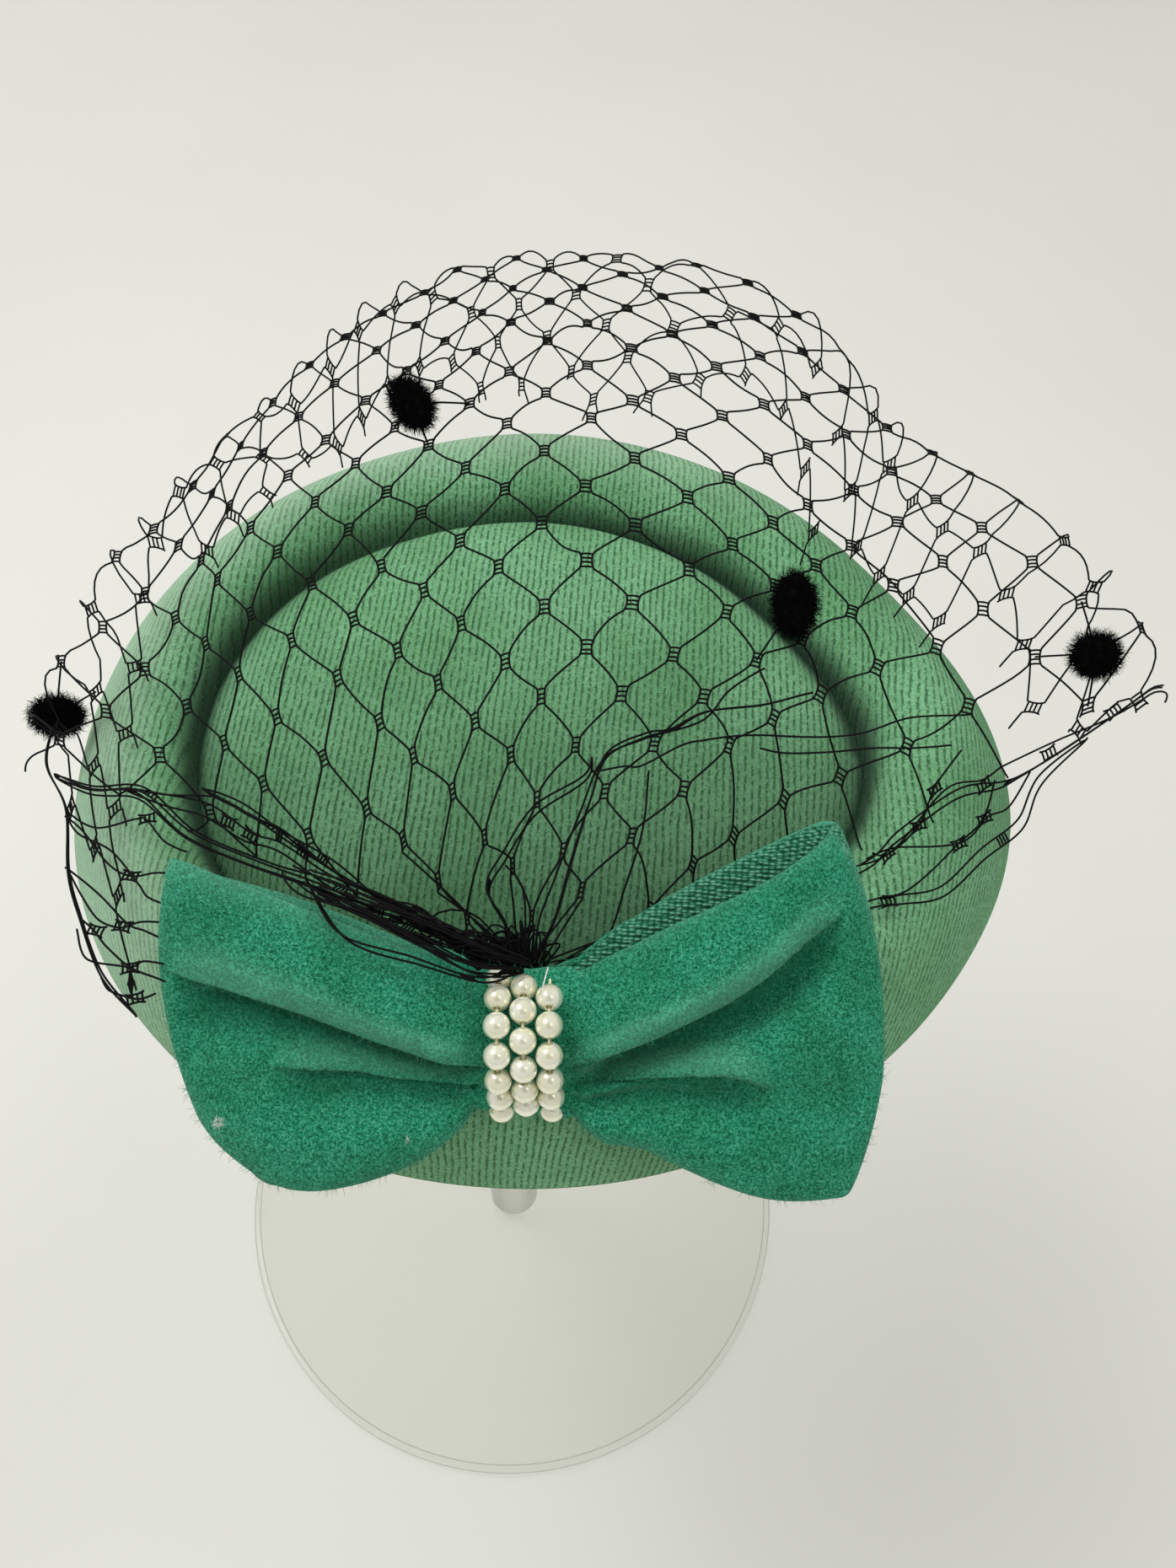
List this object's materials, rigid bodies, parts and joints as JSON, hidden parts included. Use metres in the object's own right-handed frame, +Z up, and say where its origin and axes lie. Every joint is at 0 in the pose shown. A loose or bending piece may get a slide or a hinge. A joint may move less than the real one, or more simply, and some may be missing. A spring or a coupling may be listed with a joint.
{
  "type": "fascinator hat on a clear display stand",
  "caption": "Small round felt cocktail hat with a wool bow, pearl strands over its knot and a dotted net veil, held on a clear disc stand.",
  "frame": {"origin": "centre of the stand disc's underside, on the surface it stands on", "axes": "+Z up along the stand's post, -Y towards the front of the hat where the bow is, +X to the right as seen from the front"},
  "size_m": [0.2045, 0.1878, 0.3425],
  "materials": {
    "hat_felt": "knitted and fulled wool, sage green",
    "bow_wool": "fuzzy fulled wool, deep teal green",
    "pearl": "ivory pearl lustre",
    "pearl_thread": "cream sewing thread",
    "veil_net": "black hat net",
    "chenille": "furry black chenille",
    "clear_acrylic": "clear, polished",
    "comb_plastic": "black, glossy"
  },
  "bodies": {
    "root": {"stand_base": "clear_acrylic", "stand_post": "clear_acrylic", "stand_top_plate": "clear_acrylic", "hat_body": "hat_felt", "bow": "bow_wool", "pearl_left_1": "pearl", "pearl_left_2": "pearl", "pearl_left_3": "pearl", "pearl_left_4": "pearl", "pearl_left_5": "pearl", "pearl_left_6": "pearl", "pearl_left_7": "pearl", "pearl_middle_1": "pearl", "pearl_middle_2": "pearl", "pearl_middle_3": "pearl", "pearl_middle_4": "pearl", "pearl_middle_5": "pearl", "pearl_middle_6": "pearl", "pearl_right_1": "pearl", "pearl_right_2": "pearl", "pearl_right_3": "pearl", "pearl_right_4": "pearl", "pearl_right_5": "pearl", "pearl_right_6": "pearl", "pearl_thread_left": "pearl_thread", "pearl_thread_middle": "pearl_thread", "pearl_thread_right": "pearl_thread", "veil": "veil_net", "chenille_dot_1": "chenille", "chenille_dot_2": "chenille", "chenille_dot_3": "chenille", "chenille_dot_4": "chenille", "hair_comb": "comb_plastic"}
  },
  "joints": []
}
